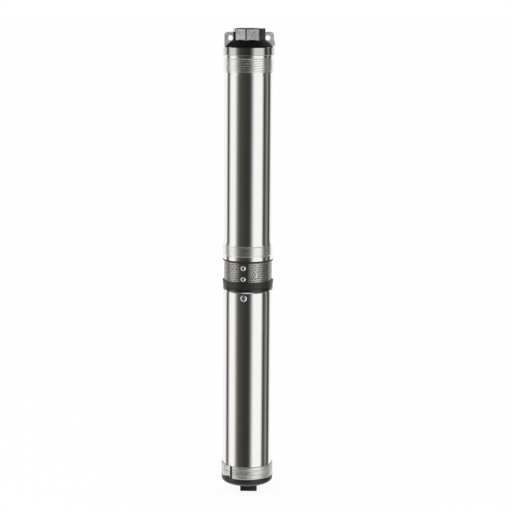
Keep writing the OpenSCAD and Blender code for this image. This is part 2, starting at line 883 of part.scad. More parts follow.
// Outer ring of a ball bearing.
module bearing_outer(z_top) {
  color("#c4c8cc")
    rotate_extrude()
      difference() {
        translate([ball_circle_r + 2.15, z_top - bearing_w])
          square([bearing_r - ball_circle_r - 2.15, bearing_w]);
        translate([ball_circle_r, z_top - bearing_w / 2])
          circle(r = groove_r);
      }
}

// Inner ring of a ball bearing.
module bearing_inner(z_top) {
  color("#c4c8cc")
    rotate_extrude()
      difference() {
        translate([shaft_r + journal_gap, z_top - bearing_w])
          square([ball_circle_r - 2.15 - shaft_r - journal_gap, bearing_w]);
        translate([ball_circle_r, z_top - bearing_w / 2])
          circle(r = groove_r);
      }
}

// Balls of a bearing in their cage.
module bearing_balls(z_top) {
  color("#dadde0")
    translate([0, 0, z_top - bearing_w / 2]) {
      for (i = [0:balls - 1])
        rotate([0, 0, 360 * i / balls])
          translate([ball_circle_r, 0, 0])
            sphere(r = ball_r);
      difference() {
        sleeve(ball_circle_r + 0.9, ball_circle_r - 0.9, -4.5, 4.5);
        for (i = [0:balls - 1])
          rotate([0, 90, 360 * i / balls])
            cylinder(h = 2 * ball_circle_r, r = ball_r + fit_gap);
      }
    }
}

// Lower end shield: bearing seat on four webs and the skirt that clamps the diaphragm.
module motor_lower_shield() {
  z_end = z_lower_bearing - bearing_w - 8;
  color("#5c6064")
    difference() {
      bar(spigot_r, z_motor_end + clamp_h + clamp_t, z_lower_shield);
      bar(spigot_r - clamp_t, z_motor_end, z_end);
      bar(bearing_r + journal_gap, z_lower_bearing - bearing_w, z_lower_shield + cut);
      bar(7, z_end - cut, z_lower_shield);
      bar(shaft_r + 2, z_lower_bearing - bearing_w - 4, z_lower_bearing);
      for (i = [0:3])
        rotate([0, 0, 90 * i])
          translate([web_circle_r, 0, z_end - cut])
            cylinder(h = lower_shield_h, r = 7);
    }
}

// Rubber diaphragm that lets the motor's oil expand.
module diaphragm() {
  z_top = z_motor_end + clamp_h + clamp_t;
  z_floor = z_top - diaphragm_h;
  r_edge = spigot_r - clamp_w;
  r_floor = r_edge - diaphragm_h;
  color("#141414")
    rotate_extrude()
      polygon([[0, z_floor], [r_floor, z_floor], [r_edge, z_top], [spigot_r, z_top],
        [spigot_r, z_top - clamp_t], [r_edge + 1, z_top - clamp_t],
        [r_floor + 1, z_floor - diaphragm_t], [0, z_floor - diaphragm_t]]);
}

// Bottom ring around the motor tube, turned with fine grooves above its lip.
module bottom_ring() {
  grooves = 6;
  groove_pitch = (bottom_ring_h - 9.6) / grooves;
  groove_t = 0.35;
  bore_r = motor_tube_d / 2 + fit_gap;
  body_r = bottom_ring_d / 2 - 0.45;
  color("#bcc0c4")
    rotate_extrude()
      polygon(concat(
        [[bore_r, z_ring], [body_r - 0.4, z_ring], [body_r, z_ring - 0.4]],
        [for (i = [0:grooves - 1], p = [[0, 0], [groove_t, 0.5], [0, 1]])
          [body_r - p[0], z_ring - 5 - i * groove_pitch - p[1]]],
        [[body_r, z_motor_end + 3.4], [bottom_ring_d / 2, z_motor_end + 2.8],
         [bottom_ring_d / 2, z_motor_end], [bore_r, z_motor_end]]));
}

// Quarter ellipse of the cap's underside.
function cap_curve(r_in, r_out, z, h) =
  [for (a = [0:10:90]) [r_in + (r_out - r_in) * cos(a), z - h * sin(a)]];

// Black bottom cap: rim, domed underside and the spigot that holds the diaphragm.
module bottom_cap() {
  cap_bore_r = spigot_r - 3.95;
  color("#17171a")
    difference() {
      union() {
        rotate_extrude()
          polygon(concat([[0, z_motor_end], [cap_d / 2, z_motor_end]],
            cap_curve(18, cap_d / 2, z_cap_rim, cap_dome_h), [[0, z_cap_end]]));
        bar(spigot_r, z_motor_end - cut, z_motor_end + clamp_h);
      }
      rotate_extrude()
        polygon(concat([[16, z_motor_end + clamp_h + cut], [cap_bore_r, z_motor_end + clamp_h + cut]],
          cap_curve(16, cap_bore_r, z_cap_rim + 2, cap_dome_h - 4)));
      bar(17, z_cap_end + 9, z_motor_end + 20);
      translate([drain_offset, 0, 0])
        bar(8 + fit_gap, z_cap_end - cut, z_motor_end);
      for (i = [0:3])
        rotate([0, 0, 90 * i + 45])
          translate([30, 0, z_cap_end - 10])
            cylinder(h = 40, r = 2);
    }
}

// Square-headed drain plug in the cap, a little beside the axis, with its corners turned off.
module drain_plug() {
  z_low = z_cap_end - drain_head_h;
  color("#17171a")
    translate([drain_offset, 0, 0]) {
      bar(8, z_cap_end - cut, z_cap_end + 8);
      rotate([0, 0, drain_turn])
        intersection() {
          translate([-drain_flats / 2, -drain_flats / 2, z_low])
            cube([drain_flats, drain_flats, drain_head_h]);
          bar(drain_flats * 0.68, z_low - cut, z_cap_end + cut);
        }
    }
}

discharge_head();
dome_collar();
head_o_ring();
valve_guide();
valve_spring();
valve_seat();
valve_poppet();
pump_tube();
top_bearing_spider();
top_bearing_bush();
pump_shaft();
impeller_nut();
for (i = [1:stages])
  impeller(z_stack + (i - 1) * stage_pitch);
for (i = [1:stages])
  diffuser(z_stack + (i - 1) * stage_pitch);
shaft_coupling();
intake_lantern();
intake_strainer();
strainer_screws();
flange_fasteners();
motor_top_shield();
shield_o_ring();
cable_gland();
fill_plug();
motor_tube();
stator_core();
stator_winding();
motor_shaft();
rotor_core();
sand_slinger();
seal_seat();
seal_head();
bearing_outer(z_upper_bearing);  // upper_bearing_outer
bearing_inner(z_upper_bearing);  // upper_bearing_inner
bearing_balls(z_upper_bearing);  // upper_bearing_balls
bearing_outer(z_lower_bearing);  // lower_bearing_outer
bearing_inner(z_lower_bearing);  // lower_bearing_inner
bearing_balls(z_lower_bearing);  // lower_bearing_balls
motor_lower_shield();
diaphragm();
bottom_ring();
bottom_cap();
drain_plug();
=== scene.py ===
import bpy, bmesh, json, math
from mathutils import Matrix, Quaternion, Vector


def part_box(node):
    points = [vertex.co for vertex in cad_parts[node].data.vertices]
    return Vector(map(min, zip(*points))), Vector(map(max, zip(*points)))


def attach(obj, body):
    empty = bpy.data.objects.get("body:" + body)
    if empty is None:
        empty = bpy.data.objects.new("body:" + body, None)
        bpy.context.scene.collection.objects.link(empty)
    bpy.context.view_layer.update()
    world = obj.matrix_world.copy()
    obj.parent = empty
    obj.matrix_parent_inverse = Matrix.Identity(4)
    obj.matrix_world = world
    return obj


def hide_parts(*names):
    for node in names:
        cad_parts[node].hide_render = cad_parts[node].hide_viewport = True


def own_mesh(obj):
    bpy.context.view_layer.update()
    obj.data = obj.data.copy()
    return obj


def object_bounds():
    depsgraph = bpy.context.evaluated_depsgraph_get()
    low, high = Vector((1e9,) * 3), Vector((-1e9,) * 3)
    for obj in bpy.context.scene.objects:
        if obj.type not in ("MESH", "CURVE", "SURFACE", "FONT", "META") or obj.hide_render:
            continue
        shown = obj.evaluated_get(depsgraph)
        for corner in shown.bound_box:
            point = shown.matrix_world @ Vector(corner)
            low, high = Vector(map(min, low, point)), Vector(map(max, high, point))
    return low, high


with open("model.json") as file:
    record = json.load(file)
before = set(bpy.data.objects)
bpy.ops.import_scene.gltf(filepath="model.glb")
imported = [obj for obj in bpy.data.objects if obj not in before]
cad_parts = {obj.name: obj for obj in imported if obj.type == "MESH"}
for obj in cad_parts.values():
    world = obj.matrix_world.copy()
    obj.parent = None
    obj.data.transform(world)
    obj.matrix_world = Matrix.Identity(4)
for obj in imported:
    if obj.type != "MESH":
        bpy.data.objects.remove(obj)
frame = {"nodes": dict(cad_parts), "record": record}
cadBox = [list(corner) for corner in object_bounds()]
nodes = frame["nodes"]
slotOf = {part["node"]: part["material_slot"] for part in frame["record"]["subparts"]}
mm = 0.001
white = (1, 1, 1, 1)
print("frame loaded with", len(nodes), "nodes")


def linear(hexCode):
    # sRGB hex to the linear values that shaders take
    parts = [int(hexCode[i:i + 2], 16) / 255 for i in (1, 3, 5)]
    return tuple(c / 12.92 if c <= 0.04045 else ((c + 0.055) / 1.055) ** 2.4 for c in parts) + (1.0,)


def addNode(tree, kind, settings=None, links=None):
    # one shader node: settings go to its sockets or its own options, links to its sockets
    node = tree.nodes.new("ShaderNode" + kind)
    for key, value in (settings or {}).items():
        if isinstance(key, int) or key in node.inputs:
            node.inputs[key].default_value = value
        else:
            setattr(node, key, value)
    for key, source in (links or {}).items():
        tree.links.new(source, node.inputs[key])
    return node


def startFinish(name, **sockets):
    # a fresh material with its shader, and the object's own metres as coordinates
    finish = bpy.data.materials.new(name)
    finish.use_nodes = True
    tree = finish.node_tree
    tree.nodes.clear()
    shader = addNode(tree, "BsdfPrincipled", {key.replace("_", " "): v for key, v in sockets.items()})
    addNode(tree, "OutputMaterial", links={"Surface": shader.outputs[0]})
    return finish, tree, shader, addNode(tree, "TexCoord").outputs["Object"]


def setStops(ramp, stops):
    # colour stops as (place from 0 to 1, hex)
    while len(ramp.elements) > 1:
        ramp.elements.remove(ramp.elements[-1])
    ramp.elements[0].position, ramp.elements[0].color = stops[0][0], linear(stops[0][1])
    for place, hexCode in stops[1:]:
        ramp.elements.new(place).color = linear(hexCode)


def lookFrom(tree, shader, pattern, tones=None, gloss=None, depth=None):
    # what one pattern gives a finish: its tones, its range of gloss, its depth in metres
    if tones:
        tint = addNode(tree, "ValToRGB", links={0: pattern})
        setStops(tint.color_ramp, tones)
        tree.links.new(tint.outputs[0], shader.inputs["Base Color"])
    if gloss:
        rough = addNode(tree, "MapRange", {"To Min": gloss[0], "To Max": gloss[1]}, {"Value": pattern})
        tree.links.new(rough.outputs[0], shader.inputs["Roughness"])
    if depth:
        bump = addNode(tree, "Bump", {"Distance": depth}, {"Height": pattern})
        tree.links.new(bump.outputs[0], shader.inputs["Normal"])


# camera: a long lens a little above the outlet, turned to the pump's left
view = {"azimuth": -11.7, "distance": 3.3, "height": 0.0696, "pitch": 8.556, "yaw": 0.26, "roll": 0.33,
        "lens": 124.3, "sensor": 36}
azimuth = math.radians(view["azimuth"])
cameraData = bpy.data.cameras.new("pumpCamera")
cameraData.lens = view["lens"]
cameraData.sensor_width = view["sensor"]
camera = bpy.data.objects.new("pumpCamera", cameraData)
camera.location = (view["distance"] * math.sin(azimuth), -view["distance"] * math.cos(azimuth),
                   view["height"])
heading = math.atan2(-camera.location.y, -camera.location.x) - math.radians(view["yaw"])
down = math.radians(view["pitch"])
looking = Vector((math.cos(heading) * math.cos(down), math.sin(heading) * math.cos(down), -math.sin(down)))
camera.rotation_mode = "QUATERNION"
camera.rotation_quaternion = (looking.to_track_quat("-Z", "Y")
                              @ Quaternion((0, 0, 1), math.radians(view["roll"])))
bpy.context.scene.collection.objects.link(camera)
bpy.context.scene.camera = camera
bpy.context.scene.view_settings.view_transform = "Standard"
print("camera placed")


# studio: white walls with dark gaps between them, which is what a polished tube shows
studio = {
    "wallStrength": 1.25,
    "ambient": 1.0,
    "tones": {"white": "#f8f8f8", "shaded": "#e4e4e4", "pale": "#949089", "warm": "#706a62",
              "brown": "#4a4540", "cool": "#545857", "black": "#333633"},
    # degrees to the right of the camera as seen from the pump, and the wall's tone there
    "walls": [(-180, "shaded"), (-128, "white"), (-112, "brown"), (-107, "brown"), (-91, "white"),
              (-68, "white"), (-51, "warm"), (-38, "brown"), (-12, "black"), (2, "black"), (11, "cool"),
              (28, "white"), (64, "white"), (76, "brown"), (84, "brown"), (97, "pale"), (109, "black"),
              (115, "black"), (131, "white")],
    # the height of a direction, from straight down at 0 to straight up at 1
    "ceiling": [(0.0, "#d0d0d0"), (0.5, "#d0d0d0"), (0.72, "#606060"), (0.785, "#585858"), (0.8, "#d8d8d8"),
                (0.84, "#d8d8d8"), (0.88, "#303030"), (1.0, "#202020")],
    # how far the tones of floor and ceiling take over from the walls at that height
    "ceilingShare": [(0.05, "#d0d0d0"), (0.26, "#000000"), (0.66, "#000000"), (0.74, "#ffffff")],
}
world = bpy.data.worlds.new("studioTent")
bpy.context.scene.world = world
world.use_nodes = True
tree = world.node_tree
tree.nodes.clear()
direction = addNode(tree, "VectorRotate", {"rotation_type": "Z_AXIS", "Angle": -azimuth},
                    {"Vector": addNode(tree, "TexCoord").outputs["Generated"]})
axes = addNode(tree, "SeparateXYZ", links={0: direction.outputs[0]}).outputs
front = addNode(tree, "Math", {"operation": "MULTIPLY", 1: -1.0}, {0: axes["Y"]})
around = addNode(tree, "Math", {"operation": "ARCTAN2"}, {0: axes["X"], 1: front.outputs[0]})
turn = addNode(tree, "MapRange", {"From Min": -math.pi, "From Max": math.pi}, {"Value": around.outputs[0]})
wall = addNode(tree, "ValToRGB", links={0: turn.outputs[0]})
setStops(wall.color_ramp, [((deg + 180) / 360, studio["tones"][tone]) for deg, tone in studio["walls"]])
rise = addNode(tree, "MapRange", {"From Min": -1.0, "From Max": 1.0}, {"Value": axes["Z"]})
ceiling = addNode(tree, "ValToRGB", links={0: rise.outputs[0]})
setStops(ceiling.color_ramp, studio["ceiling"])
share = addNode(tree, "ValToRGB", links={0: rise.outputs[0]})
setStops(share.color_ramp, studio["ceilingShare"])
tent = addNode(tree, "Mix", {"data_type": "RGBA"},
               {0: share.outputs[0], 6: wall.outputs[0], 7: ceiling.outputs[0]})
light = addNode(tree, "LightPath").outputs
tentLight = addNode(tree, "Background", {"Strength": studio["wallStrength"]}, {"Color": tent.outputs[2]})
softLight = addNode(tree, "Background", {"Color": white, "Strength": studio["ambient"]})
backdrop = addNode(tree, "Background", {"Color": white, "Strength": 1.0})
seenDirect = addNode(tree, "Math", {"operation": "MAXIMUM"},
                     {0: light["Is Camera Ray"], 1: light["Is Transmission Ray"]})
inMetal = addNode(tree, "MixShader", links={0: light["Is Glossy Ray"], 1: softLight.outputs[0],
                                            2: tentLight.outputs[0]})
allRays = addNode(tree, "MixShader", links={0: seenDirect.outputs[0], 1: inMetal.outputs[0],
                                            2: backdrop.outputs[0]})
addNode(tree, "OutputWorld", links={"Surface": allRays.outputs[0]})

lamp = {"place": (-1.6, -1.9, 1.7), "aim": (0, 0, -0.45), "size": 1.6, "watts": 16}
lampData = bpy.data.lights.new("softbox", "AREA")
lampData.size = lamp["size"]
lampData.energy = lamp["watts"]
softbox = bpy.data.objects.new("softbox", lampData)
softbox.visible_glossy = False  # the tent alone shows in the metal
softbox.location = lamp["place"]
softbox.rotation_mode = "QUATERNION"
softbox.rotation_quaternion = (Vector(lamp["aim"]) - softbox.location).to_track_quat("-Z", "Y")
bpy.context.scene.collection.objects.link(softbox)

# paper floor: plain white to the camera except where the pump shades it
floor = {"size": 120.0, "paper": [(0.3, "#f3f3f1"), (0.7, "#f6f6f4")], "fibreMm": 4, "glow": 0.93,
         "gap": 0.0002}
finish, tree, shader, coords = startFinish("white_paper_roll", Roughness=0.9)
fibre = addNode(tree, "TexNoise", {"Scale": 1 / (floor["fibreMm"] * mm), "Detail": 3.0}, {"Vector": coords})
lookFrom(tree, shader, fibre.outputs["Fac"], floor["paper"])
glow = addNode(tree, "Emission", {"Color": white, "Strength": 1.0})
rays = addNode(tree, "LightPath").outputs
glowShare = addNode(tree, "Math", {"operation": "MULTIPLY", 1: floor["glow"]}, {0: rays["Is Camera Ray"]})
mixed = addNode(tree, "MixShader", links={0: glowShare.outputs[0], 1: shader.outputs[0], 2: glow.outputs[0]})
tree.links.new(mixed.outputs[0], tree.nodes["Material Output"].inputs["Surface"])
sheetMesh = bpy.data.meshes.new("paperFloor")
half, ground = floor["size"] / 2, cadBox[0][2] - floor["gap"]
corners = [(-half, -half), (half, -half), (half, half), (-half, half)]
sheetMesh.from_pydata([(x, y, ground) for x, y in corners], [], [(0, 1, 2, 3)])
paper = bpy.data.objects.new("paperFloor", sheetMesh)
sheetMesh.materials.append(finish)
paper.visible_glossy = False  # the tubes show the tent down to their feet
bpy.context.scene.collection.objects.link(paper)
print("studio lit")


finishes = {}

# stainless tube, ground and polished: a mirror with faint rings from the belt and slow waves from drawing
# the belt's lines are about 0.05 mm apart on the real tube, drawn coarser to show
tubeSteel = {"colour": "#e4e4e2", "roughness": (0.06, 0.13), "smearMm": 50, "ringMm": 1.4,
             "ringDepth": 0.0015 * mm, "ringWide": 12, "waveMm": 26, "waveDepth": 0.012 * mm, "waveLong": 4,
             "rolled": 0.15, "rolledEnds": [(-54, -81), (-403, -424)], "rolledEdge": 1}
# ringWide, waveLong and the bar's feedWide count the pattern's patches in a metre the other way
finish, tree, shader, coords = startFinish("stainless_tube_polished", Metallic=1.0,
                                           Base_Color=linear(tubeSteel["colour"]))
smear = addNode(tree, "TexNoise", {"Scale": 1 / (tubeSteel["smearMm"] * mm), "Detail": 4.0},
                {"Vector": coords})
gloss = addNode(tree, "MapRange", {"From Min": 0.3, "From Max": 0.7, "To Min": tubeSteel["roughness"][0],
                                   "To Max": tubeSteel["roughness"][1]}, {"Value": smear.outputs["Fac"]})
# the rolls leave the ridges duller than the polished tube between them
height = addNode(tree, "SeparateXYZ", links={0: coords}).outputs["Z"]
dull = gloss.outputs[0]
for high, low in tubeSteel["rolledEnds"]:
    middle = addNode(tree, "Math", {"operation": "SUBTRACT", 1: (high + low) / 2 * mm}, {0: height})
    away = addNode(tree, "Math", {"operation": "ABSOLUTE"}, {0: middle.outputs[0]})
    reach = (high - low) / 2
    extra = addNode(tree, "MapRange", {"From Min": reach * mm,
                                       "From Max": (reach + tubeSteel["rolledEdge"]) * mm,
                                       "To Min": tubeSteel["rolled"], "To Max": 0.0},
                    {"Value": away.outputs[0]})
    dull = addNode(tree, "Math", {"operation": "ADD"}, {0: dull, 1: extra.outputs[0]}).outputs[0]
tree.links.new(dull, shader.inputs["Roughness"])
wide, perRing, perWave = tubeSteel["ringWide"], 1 / (tubeSteel["ringMm"] * mm), 1 / (tubeSteel["waveMm"] * mm)
beltScale = addNode(tree, "Mapping", {"Scale": (wide, wide, perRing)}, {"Vector": coords})
belt = addNode(tree, "TexNoise", {"Scale": 1.0, "Detail": 2.0}, {"Vector": beltScale.outputs[0]})
drawScale = addNode(tree, "Mapping", {"Scale": (perWave, perWave, tubeSteel["waveLong"])}, {"Vector": coords})
drawn = addNode(tree, "TexNoise", {"Scale": 1.0, "Detail": 1.0}, {"Vector": drawScale.outputs[0]})
rings = addNode(tree, "Bump", {"Distance": tubeSteel["ringDepth"]}, {"Height": belt.outputs["Fac"]})
waves = addNode(tree, "Bump", {"Distance": tubeSteel["waveDepth"]},
                {"Height": drawn.outputs["Fac"], "Normal": rings.outputs[0]})
tree.links.new(waves.outputs[0], shader.inputs["Normal"])
finishes["polished_steel"] = finish

# stainless investment casting, bead-blasted: satin grey with a pebbled skin, and its flange turned bright
# the beads leave pits of about 0.2 mm, drawn coarser to show
headSteel = {"cast": [(0.32, "#8e8e8c"), (0.62, "#b4b4b2")], "turned": "#bebebc", "skin": (0.1, 0.2),
             "flange": 0.05, "flangeTop": -34.9, "flangeEdge": 0.2, "patchMm": 7, "beadMm": 0.9,
             "beadDepth": 0.03 * mm}
finish, tree, shader, coords = startFinish("stainless_casting_blasted", Metallic=1.0)
height = addNode(tree, "SeparateXYZ", links={0: coords}).outputs["Z"]
blasted = addNode(tree, "MapRange", {"From Min": headSteel["flangeTop"] * mm,
                                     "From Max": (headSteel["flangeTop"] + headSteel["flangeEdge"]) * mm},
                  {"Value": height}).outputs[0]
patch = addNode(tree, "TexNoise", {"Scale": 1 / (headSteel["patchMm"] * mm), "Detail": 5.0, "Roughness": 0.6},
                {"Vector": coords})
skin = addNode(tree, "ValToRGB", links={0: patch.outputs["Fac"]})
setStops(skin.color_ramp, headSteel["cast"])
tint = addNode(tree, "Mix", {"data_type": "RGBA", 6: linear(headSteel["turned"])},
               {0: blasted, 7: skin.outputs[0]})
tree.links.new(tint.outputs[2], shader.inputs["Base Color"])
pebble = addNode(tree, "TexNoise", {"Scale": 1 / (headSteel["beadMm"] * mm), "Detail": 3.0},
                 {"Vector": coords})
grit = addNode(tree, "MapRange", {"To Min": headSteel["skin"][0], "To Max": headSteel["skin"][1]},
               {"Value": patch.outputs["Fac"]})
gloss = addNode(tree, "Mix", {"data_type": "FLOAT", 2: headSteel["flange"]}, {0: blasted, 3: grit.outputs[0]})
tree.links.new(gloss.outputs[0], shader.inputs["Roughness"])
depth = addNode(tree, "Math", {"operation": "MULTIPLY"}, {0: pebble.outputs["Fac"], 1: blasted})
bump = addNode(tree, "Bump", {"Distance": headSteel["beadDepth"]}, {"Height": depth.outputs[0]})
tree.links.new(bump.outputs[0], shader.inputs["Normal"])
finishes["cast_steel"] = finish

# stainless bar, turned: fine tool rings that stretch every highlight along the axis
# the feed is about 0.15 mm on the real ring, drawn coarser to show
turnedSteel = {"tones": [(0.4, "#dcdcda"), (0.54, "#fffffd")], "edge": "#c4c4c2", "roughness": (0.34, 0.52),
               "feedMm": 1.8, "feedWide": 24, "feedDepth": 0.12 * mm}
finish, tree, shader, coords = startFinish("stainless_bar_turned", Metallic=1.0,
                                           Specular_Tint=linear(turnedSteel["edge"]))
wide, perFeed = turnedSteel["feedWide"], 1 / (turnedSteel["feedMm"] * mm)
feedScale = addNode(tree, "Mapping", {"Scale": (wide, wide, perFeed)}, {"Vector": coords})
feed = addNode(tree, "TexNoise", {"Scale": 1.0, "Detail": 3.0}, {"Vector": feedScale.outputs[0]})
lookFrom(tree, shader, feed.outputs["Fac"], turnedSteel["tones"], turnedSteel["roughness"],
         turnedSteel["feedDepth"])
finishes["turned_steel"] = finish

# stainless screws, cold headed and tumbled: bright, with small dents from the barrel
screwSteel = {"colour": "#f4f4f2", "roughness": (0.19, 0.3), "dentMm": 0.8, "dentDepth": 0.01 * mm}
finish, tree, shader, coords = startFinish("stainless_screw_tumbled", Metallic=1.0,
                                           Base_Color=linear(screwSteel["colour"]))
dents = addNode(tree, "TexNoise", {"Scale": 1 / (screwSteel["dentMm"] * mm), "Detail": 2.0},
                {"Vector": coords})
lookFrom(tree, shader, dents.outputs["Fac"], None, screwSteel["roughness"], screwSteel["dentDepth"])
screwFinish = finish

# stainless sheet, punched and rolled: dull between the holes from the press, brighter on the plain seam
# the mill's marks are finer on the real sheet, drawn coarser to show
sheetSteel = {"tones": [(0.3, "#a2a09c"), (0.7, "#c0beba")], "punched": 0.34, "seam": 0.22, "seamTurn": -23,
              "seamHalf": 12, "seamEdge": 1, "rollMm": 2.2, "rollDepth": 0.02 * mm}
finish, tree, shader, coords = startFinish("stainless_sheet_punched", Metallic=1.0)
turned = addNode(tree, "VectorRotate", {"rotation_type": "Z_AXIS",
                                        "Angle": -math.radians(sheetSteel["seamTurn"])}, {"Vector": coords})
place = addNode(tree, "SeparateXYZ", links={0: turned.outputs[0]}).outputs
front = addNode(tree, "Math", {"operation": "MULTIPLY", 1: -1.0}, {0: place["Y"]})
angle = addNode(tree, "Math", {"operation": "ARCTAN2"}, {0: place["X"], 1: front.outputs[0]})
off = addNode(tree, "Math", {"operation": "ABSOLUTE"}, {0: angle.outputs[0]})
seamHalf, seamEdge = sheetSteel["seamHalf"], sheetSteel["seamEdge"]
punched = addNode(tree, "MapRange", {"From Min": math.radians(seamHalf - seamEdge),
                                     "From Max": math.radians(seamHalf + seamEdge),
                                     "To Min": sheetSteel["seam"], "To Max": sheetSteel["punched"]},
                  {"Value": off.outputs[0]})
tree.links.new(punched.outputs[0], shader.inputs["Roughness"])
roll = addNode(tree, "TexNoise", {"Scale": 1 / (sheetSteel["rollMm"] * mm), "Detail": 4.0},
               {"Vector": coords})
lookFrom(tree, shader, roll.outputs["Fac"], sheetSteel["tones"], None, sheetSteel["rollDepth"])
finishes["sheet_steel"] = finish

# glass-filled nylon, injection moulded: satin black with a spark-eroded grain
# the real grain is about 0.1 mm, drawn coarser to show
nylon = {"tones": [(0.3, "#181819"), (0.7, "#232324")], "flowMm": 14, "roughness": (0.36, 0.5),
         "grainMm": 0.7, "grainDepth": 0.02 * mm}
finish, tree, shader, coords = startFinish("black_nylon_moulded", IOR=1.53)
flow = addNode(tree, "TexNoise", {"Scale": 1 / (nylon["flowMm"] * mm), "Detail": 3.0}, {"Vector": coords})
lookFrom(tree, shader, flow.outputs["Fac"], nylon["tones"])
grain = addNode(tree, "TexNoise", {"Scale": 1 / (nylon["grainMm"] * mm), "Detail": 2.0}, {"Vector": coords})
lookFrom(tree, shader, grain.outputs["Fac"], None, nylon["roughness"], nylon["grainDepth"])
finishes["black_moulding"] = finish

# polypropylene, moulded: a deep dull black that shows little of the room
# the real grain is about 0.1 mm, drawn coarser to show
polypropylene = {"tones": [(0.3, "#090909"), (0.7, "#0f0f10")], "roughness": (0.42, 0.56), "grainMm": 0.8,
                 "grainDepth": 0.02 * mm}
finish, tree, shader, coords = startFinish("black_polypropylene_moulded", IOR=1.49, Specular_IOR_Level=0.22)
grain = addNode(tree, "TexNoise", {"Scale": 1 / (polypropylene["grainMm"] * mm), "Detail": 2.0},
                {"Vector": coords})
lookFrom(tree, shader, grain.outputs["Fac"], polypropylene["tones"], polypropylene["roughness"],
         polypropylene["grainDepth"])
dullFinish = finish

# black enamel, sprayed on cast iron: an even coat with a slight orange peel
enamel = {"colour": "#121214", "roughness": (0.2, 0.3), "peelMm": 2.0, "peelDepth": 0.02 * mm}
finish, tree, shader, coords = startFinish("black_enamel_sprayed", IOR=1.58,
                                           Base_Color=linear(enamel["colour"]))
peel = addNode(tree, "TexNoise", {"Scale": 1 / (enamel["peelMm"] * mm), "Detail": 1.0}, {"Vector": coords})
lookFrom(tree, shader, peel.outputs["Fac"], None, enamel["roughness"], enamel["peelDepth"])
finishes["black_paint"] = finish

# pieces inside the pump: what each is made of, its two tones, metal or not, gloss, the size and depth of its
# texture in mm, finer on the real pieces, and how much longer that is across than along the pump
innerFinishes = {
    "stage_polymer": ("polycarbonate_glass_filled_moulded", "#cfc6b0", "#bdb39b", 0.0, (0.35, 0.5), 3.0,
                      0.02, 1),
    "valve_brass": ("brass_cast_and_turned", "#c9a35a", "#a98540", 1.0, (0.25, 0.4), 1.0, 0.02, 1),
    "black_rubber": ("nitrile_rubber_moulded", "#161616", "#0e0e0e", 0.0, (0.6, 0.75), 0.8, 0.03, 1),
    "spring_steel": ("spring_wire_drawn", "#c8c8c8", "#a4a4a4", 1.0, (0.25, 0.35), 0.5, 0.01, 1),
    "laminations": ("electrical_steel_stacked", "#8b8f94", "#5c6064", 1.0, (0.4, 0.55), 0.5, 0.04, 40),
    "copper": ("copper_wire_enamelled", "#b8693a", "#8a4a24", 1.0, (0.25, 0.4), 0.8, 0.06, 1),
    "shield_iron": ("grey_iron_cast", "#6a6c6e", "#4c4e50", 1.0, (0.45, 0.6), 1.2, 0.05, 1),
    "bearing_steel": ("bearing_steel_ground", "#d6d6d4", "#c2c2c0", 1.0, (0.08, 0.16), 0.6, 0.004, 20),
    "seal_faces": ("alumina_ceramic_lapped", "#e6e4dc", "#dad7cd", 0.0, (0.12, 0.2), 0.6, 0.004, 1),
    "seal_bellows": ("rubber_bellows_moulded", "#1c1c1c", "#121212", 0.0, (0.55, 0.7), 0.8, 0.03, 1),
}
for slotName, (label, lightTone, darkTone, metal, gloss, grainMm, depthMm, flatten) in innerFinishes.items():
    finish, tree, shader, coords = startFinish(label, Metallic=metal)
    perGrain = 1 / (grainMm * mm)
    squeeze = addNode(tree, "Mapping", {"Scale": (perGrain / flatten, perGrain / flatten, perGrain)},
                      {"Vector": coords})
    grain = addNode(tree, "TexNoise", {"Scale": 1.0, "Detail": 3.0}, {"Vector": squeeze.outputs[0]})
    lookFrom(tree, shader, grain.outputs["Fac"], [(0.3, darkTone), (0.7, lightTone)], gloss, depthMm * mm)
    finishes[slotName] = finish

ownFinish = {"strainer_screws": screwFinish, "fill_plug": screwFinish, "flange_fasteners": screwFinish,
             "dome_collar": dullFinish}
for name, piece in nodes.items():
    finish = ownFinish.get(name, finishes[slotOf[name]])
    piece.data.materials.clear()
    piece.data.materials.append(finish)
print("finishes made and laid on", len(nodes), "nodes")


sharpEdge = math.radians(32)  # a steeper edge between faces stays sharp


def makePiece(name, mesh, finish, body):
    # a new piece of the pump, smooth except along its real edges
    mesh.materials.append(finish)
    mesh.polygons.foreach_set("use_smooth", [True] * len(mesh.polygons))
    mesh.set_sharp_from_angle(angle=sharpEdge)
    piece = bpy.data.objects.new(name, mesh)
    bpy.context.scene.collection.objects.link(piece)
    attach(piece, body)
    return piece


def meshFrom(name, verts, faces, turnOut=False):
    # a mesh from its corners and faces, which are turned outwards where their order doesn't give that
    mesh = bpy.data.meshes.new(name)
    mesh.from_pydata(verts, [], faces)
    if turnOut:
        shell = bmesh.new()
        shell.from_mesh(mesh)
        bmesh.ops.recalc_face_normals(shell, faces=shell.faces)
        shell.to_mesh(mesh)
        shell.free()
    return mesh


def onCircle(r, angle, z):
    # a corner in metres from a radius and a height in mm
    return (r * mm * math.cos(angle), r * mm * math.sin(angle), z * mm)


# pump tube with its two rolled threads, whose turns climb as real ones do
rolledTube = {"segments": 180, "tubeR": 45.7, "boreR": 44.3, "endBoreR": 45.6, "lipR": 46.8, "crestR": 47.5,
              "round": 5.2, "top": -49.5, "bottom": -431.6, "neck": 7.0, "boreNeck": 6.0,
              "boreSteps": (-80.5, -409.0), "threads": [(-54.1, -80.5, 4.4), (-403.0, -423.5, 4.1)],
              # flat between two turns, turns in which a thread fades, chamfer on top, slack at a thread's end
              "flat": 0.3, "fadeTurns": 0.6, "chamfer": 0.3, "slack": 0.01,
              # distance of the mesh's rows on the threads, the necks and the plain tube
              "threadStep": 0.32, "neckStep": 0.4, "plainStep": 32}


def easeStep(low, high, value):
    t = min(max((value - low) / (high - low), 0), 1)
    return t * t * (3 - 2 * t)


